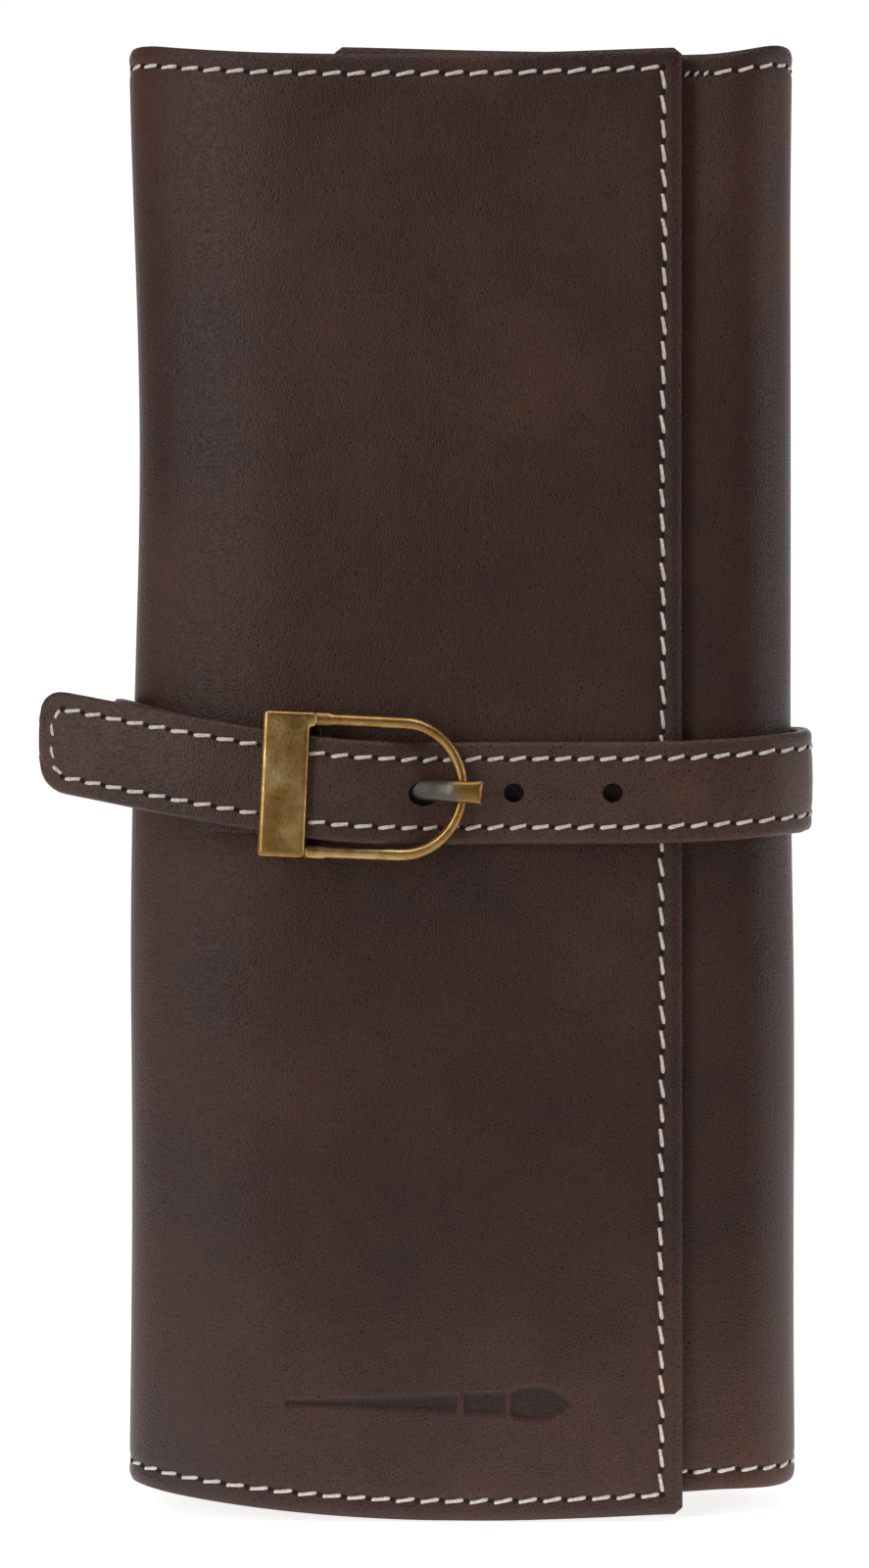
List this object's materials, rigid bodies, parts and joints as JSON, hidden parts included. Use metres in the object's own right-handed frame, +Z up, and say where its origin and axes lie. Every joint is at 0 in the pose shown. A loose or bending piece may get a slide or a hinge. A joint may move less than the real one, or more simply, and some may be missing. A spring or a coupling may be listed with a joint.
{
  "type": "brush roll case",
  "caption": "Tri-fold leather brush roll case with stitched edges, lined brush pockets and a wrap-round strap closed by a keeper buckle with a prong.",
  "frame": {"origin": "middle of the back panel's bottom edge, halfway through its outer leather", "axes": "+Z up along the case's height, +X across it to the right seen from the front, and the front faces -Y"},
  "size_m": [0.116, 0.0384, 0.22],
  "materials": {
    "case_leather": "smooth-grained brown leather, semi-matt",
    "strap_leather": "smooth-grained brown leather, semi-matt",
    "lining": "woven cotton twill",
    "thread": "waxed polyester thread",
    "antique_brass": "antique brass plating, brushed",
    "steel": "dull nickel-plated steel"
  },
  "bodies": {
    "case_back": {"back_leather": "case_leather", "back_lining": "lining", "back_thread": "thread", "pocket_panel": "lining", "pocket_binding": "case_leather", "pocket_thread": "thread", "strap_back": "strap_leather", "strap_back_backing": "strap_leather", "strap_back_thread": "thread", "strap_anchor_thread": "thread"},
    "left_fold": {"left_fold_leather": "case_leather", "left_fold_lining": "lining", "left_fold_thread": "thread", "buckle_strap_side": "strap_leather"},
    "front_flap": {"flap_leather": "case_leather", "flap_lining": "lining", "flap_thread": "thread", "buckle_strap": "strap_leather", "buckle_strap_thread": "thread"},
    "buckle": {"buckle_frame": "antique_brass", "buckle_bar": "antique_brass"},
    "prong": {"buckle_prong": "steel"},
    "right_fold": {"right_fold_leather": "case_leather", "right_fold_lining": "lining", "right_fold_thread": "thread", "strap_side": "strap_leather", "strap_side_backing": "strap_leather"},
    "inner_flap": {"inner_flap_leather": "case_leather", "inner_flap_lining": "lining", "inner_flap_thread": "thread"},
    "strap_run": {"strap_front": "strap_leather", "strap_front_backing": "strap_leather", "strap_front_thread": "thread"},
    "strap_end": {"strap_tip": "strap_leather", "strap_tip_backing": "strap_leather", "strap_tip_thread": "thread"}
  },
  "joints": [
    {"name": "left_fold_open", "type": "hinge", "parent": "case_back", "child": "left_fold", "pos_m": [-0.0505, 0.0007, 0.11], "axis": [0, 0, -1], "range_deg": [0, 90], "deforming": ["strap_front", "strap_front_backing", "strap_front_thread", "strap_tip", "strap_tip_backing", "strap_tip_thread"]},
    {"name": "front_flap_open", "type": "hinge", "parent": "left_fold", "child": "front_flap", "pos_m": [-0.0505, -0.0273, 0.11], "axis": [0, 0, -1], "range_deg": [0, 90]},
    {"name": "right_fold_open", "type": "hinge", "parent": "case_back", "child": "right_fold", "pos_m": [0.0505, 0.0007, 0.11], "axis": [0, 0, 1], "range_deg": [0, 40.5]},
    {"name": "inner_flap_open", "type": "hinge", "parent": "right_fold", "child": "inner_flap", "pos_m": [0.0505, -0.0248, 0.11], "axis": [0, 0, 1], "range_deg": [0, 40.5]},
    {"name": "strap_release", "type": "hinge", "parent": "right_fold", "child": "strap_run", "pos_m": [0.0522, -0.0228, 0.1085], "axis": [0, 0, 1], "range_deg": [0, 108]},
    {"name": "strap_end_lift", "type": "hinge", "parent": "strap_run", "child": "strap_end", "pos_m": [-0.02945, -0.0325, 0.1085], "axis": [0, 0, 1], "range_deg": [0, 35]},
    {"name": "buckle_rock", "type": "hinge", "parent": "front_flap", "child": "buckle", "pos_m": [-0.0216, -0.02955, 0.1085], "axis": [-0.0436, 0, -0.999], "range_deg": [0, 3]},
    {"name": "prong_swing", "type": "hinge", "parent": "buckle", "child": "prong", "pos_m": [-0.0216, -0.02955, 0.1085], "axis": [-0.0436, 0, -0.999], "range_deg": [0, 72]}
  ],
  "couplings": [
    {"joint": "front_flap_open", "follows": "left_fold_open", "ratio": 1},
    {"joint": "right_fold_open", "follows": "left_fold_open", "ratio": 0.45},
    {"joint": "inner_flap_open", "follows": "left_fold_open", "ratio": 0.45},
    {"joint": "strap_release", "follows": "left_fold_open", "ratio": 1.2},
    {"joint": "prong_swing", "follows": "left_fold_open", "ratio": 0.8}
  ]
}
